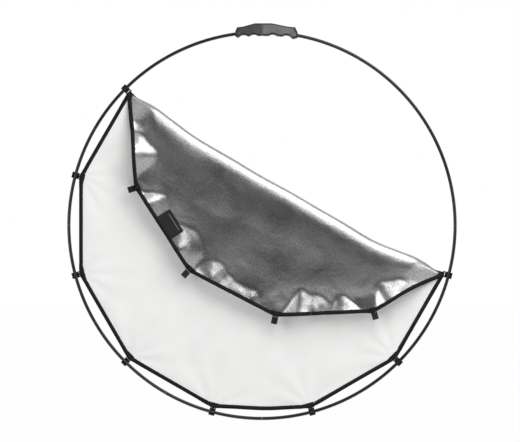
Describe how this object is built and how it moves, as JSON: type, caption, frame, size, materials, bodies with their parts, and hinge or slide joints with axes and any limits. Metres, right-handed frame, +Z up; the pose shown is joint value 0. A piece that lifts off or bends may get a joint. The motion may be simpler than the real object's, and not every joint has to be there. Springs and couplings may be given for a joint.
{
  "type": "collapsible reflector disc",
  "caption": "Round handheld light reflector: sectioned tube ring with a grip and a hooked-on white and silver cover, its upper part unhooked and folded down.",
  "frame": {"origin": "centreline of the ring tube in the middle of the grip", "axes": "+Z up along the disc's vertical diameter, +Y to the rear, so the white face and the folded flap look to -Y; the disc stands in the XZ plane"},
  "size_m": [0.82, 0.0415, 0.8345],
  "materials": {
    "black_anodised_tube": "satin black anodised",
    "bare_aluminium": "satin",
    "elastic_cord": "matte",
    "grip_plastic": "matte",
    "grip_rubber": "matte",
    "screw_steel": "satin",
    "cover_cloth": "white front, silver back",
    "binding_tape": "matte",
    "webbing": "matte",
    "clip_plastic": "gloss",
    "woven_label": "matte"
  },
  "bodies": {
    "frame_base": {"tube_left_1": "black_anodised_tube", "tube_right_1": "black_anodised_tube", "ferrule_left_1": "bare_aluminium", "ferrule_right_1": "bare_aluminium", "cord_left_1": "elastic_cord", "cord_right_1": "elastic_cord", "cord_plug_left": "bare_aluminium", "cord_plug_right": "bare_aluminium", "grip_core_left": "grip_plastic", "grip_pad_front_left": "grip_rubber", "grip_pad_rear_left": "grip_rubber", "grip_screw_left": "screw_steel", "grip_core_right": "grip_plastic", "grip_pad_front_right": "grip_rubber", "grip_pad_rear_right": "grip_rubber", "grip_screw_right": "screw_steel"},
    "left_2": {"tube_left_2": "black_anodised_tube", "cord_left_2": "elastic_cord", "ferrule_left_2": "bare_aluminium"},
    "left_3": {"tube_left_3": "black_anodised_tube", "cord_left_3": "elastic_cord", "ferrule_left_3": "bare_aluminium"},
    "left_4": {"tube_left_4": "black_anodised_tube", "cord_left_4": "elastic_cord", "ferrule_left_4": "bare_aluminium"},
    "left_5": {"tube_left_5": "black_anodised_tube", "cord_left_5": "elastic_cord", "ferrule_left_5": "bare_aluminium"},
    "left_6": {"tube_left_6": "black_anodised_tube", "cord_left_6": "elastic_cord", "ferrule_left_6": "bare_aluminium"},
    "right_2": {"tube_right_2": "black_anodised_tube", "cord_right_2": "elastic_cord", "ferrule_right_2": "bare_aluminium"},
    "right_3": {"tube_right_3": "black_anodised_tube", "cord_right_3": "elastic_cord", "ferrule_right_3": "bare_aluminium"},
    "right_4": {"tube_right_4": "black_anodised_tube", "cord_right_4": "elastic_cord", "ferrule_right_4": "bare_aluminium"},
    "right_5": {"tube_right_5": "black_anodised_tube", "cord_right_5": "elastic_cord", "ferrule_right_5": "bare_aluminium"},
    "right_6": {"tube_right_6": "black_anodised_tube", "cord_right_6": "elastic_cord", "ferrule_right_6": "bare_aluminium"},
    "cover": {"panel_cloth": "cover_cloth", "panel_binding": "binding_tape", "panel_patches": "webbing", "panel_tabs": "webbing", "clips_hooked": "clip_plastic"},
    "flap": {"flap_cloth": "cover_cloth", "flap_binding": "binding_tape", "flap_patches": "webbing", "flap_tabs": "webbing", "woven_label": "woven_label"},
    "clip_1": {"free_clip_1": "clip_plastic"},
    "clip_2": {"free_clip_2": "clip_plastic"},
    "clip_3": {"free_clip_3": "clip_plastic"},
    "clip_4": {"free_clip_4": "clip_plastic"}
  },
  "joints": [
    {"name": "left_fold", "type": "hinge", "parent": "frame_base", "child": "left_2", "pos_m": [-0.20325, -0.00365, -0.05446], "axis": [-0.5, 0, 0.866], "range_deg": [0, 165]},
    {"name": "left_fold_2", "type": "hinge", "parent": "left_2", "child": "left_3", "pos_m": [-0.35204, 0.00365, -0.20325], "axis": [0.866, 0, -0.5], "range_deg": [0, 180]},
    {"name": "left_fold_3", "type": "hinge", "parent": "left_3", "child": "left_4", "pos_m": [-0.4065, -0.00365, -0.4065], "axis": [-1, 0, 0], "range_deg": [0, 180]},
    {"name": "left_fold_4", "type": "hinge", "parent": "left_4", "child": "left_5", "pos_m": [-0.35204, 0.00365, -0.60975], "axis": [0.866, 0, 0.5], "range_deg": [0, 180]},
    {"name": "left_fold_5", "type": "hinge", "parent": "left_5", "child": "left_6", "pos_m": [-0.20325, -0.00365, -0.75854], "axis": [-0.5, 0, -0.866], "range_deg": [0, 180]},
    {"name": "right_fold", "type": "hinge", "parent": "frame_base", "child": "right_2", "pos_m": [0.20325, -0.00365, -0.05446], "axis": [-0.5, 0, -0.866], "range_deg": [0, 165]},
    {"name": "right_fold_2", "type": "hinge", "parent": "right_2", "child": "right_3", "pos_m": [0.35204, 0.00365, -0.20325], "axis": [0.866, 0, 0.5], "range_deg": [0, 180]},
    {"name": "right_fold_3", "type": "hinge", "parent": "right_3", "child": "right_4", "pos_m": [0.4065, -0.00365, -0.4065], "axis": [-1, 0, 0], "range_deg": [0, 180]},
    {"name": "right_fold_4", "type": "hinge", "parent": "right_4", "child": "right_5", "pos_m": [0.35204, 0.00365, -0.60975], "axis": [0.866, 0, -0.5], "range_deg": [0, 180]},
    {"name": "right_fold_5", "type": "hinge", "parent": "right_5", "child": "right_6", "pos_m": [0.20325, -0.00365, -0.75854], "axis": [-0.5, 0, 0.866], "range_deg": [0, 180]},
    {"name": "cover_unclip", "type": "slide", "parent": "frame_base", "child": "cover", "axis": [0, 1, 0], "range_m": [0, 0.15]},
    {"name": "flap_fold", "type": "hinge", "parent": "cover", "child": "flap", "pos_m": [0.04008, -0.0108, -0.33708], "axis": [-0.866, 0, 0.5], "range_deg": [0, 150]},
    {"name": "clip_1_swing", "type": "hinge", "parent": "flap", "child": "clip_1", "pos_m": [-0.26266, -0.027, -0.32759], "axis": [-0.3007, 0, 0.9537], "range_deg": [0, 75]},
    {"name": "clip_2_swing", "type": "hinge", "parent": "flap", "child": "clip_2", "pos_m": [-0.15277, -0.027, -0.50007], "axis": [-0.7373, 0, 0.6756], "range_deg": [0, 75]},
    {"name": "clip_3_swing", "type": "hinge", "parent": "flap", "child": "clip_3", "pos_m": [0.02864, -0.027, -0.59451], "axis": [-0.9763, 0, 0.2164], "range_deg": [0, 75]},
    {"name": "clip_4_swing", "type": "hinge", "parent": "flap", "child": "clip_4", "pos_m": [0.23297, -0.027, -0.58559], "axis": [-0.9537, 0, -0.3007], "range_deg": [0, 75]}
  ],
  "couplings": [
    {"joint": "left_fold_2", "follows": "left_fold", "ratio": 1.0909},
    {"joint": "left_fold_3", "follows": "left_fold", "ratio": 1.0909},
    {"joint": "left_fold_4", "follows": "left_fold", "ratio": 1.0909},
    {"joint": "left_fold_5", "follows": "left_fold", "ratio": 1.0909},
    {"joint": "right_fold_2", "follows": "right_fold", "ratio": 1.0909},
    {"joint": "right_fold_3", "follows": "right_fold", "ratio": 1.0909},
    {"joint": "right_fold_4", "follows": "right_fold", "ratio": 1.0909},
    {"joint": "right_fold_5", "follows": "right_fold", "ratio": 1.0909}
  ]
}
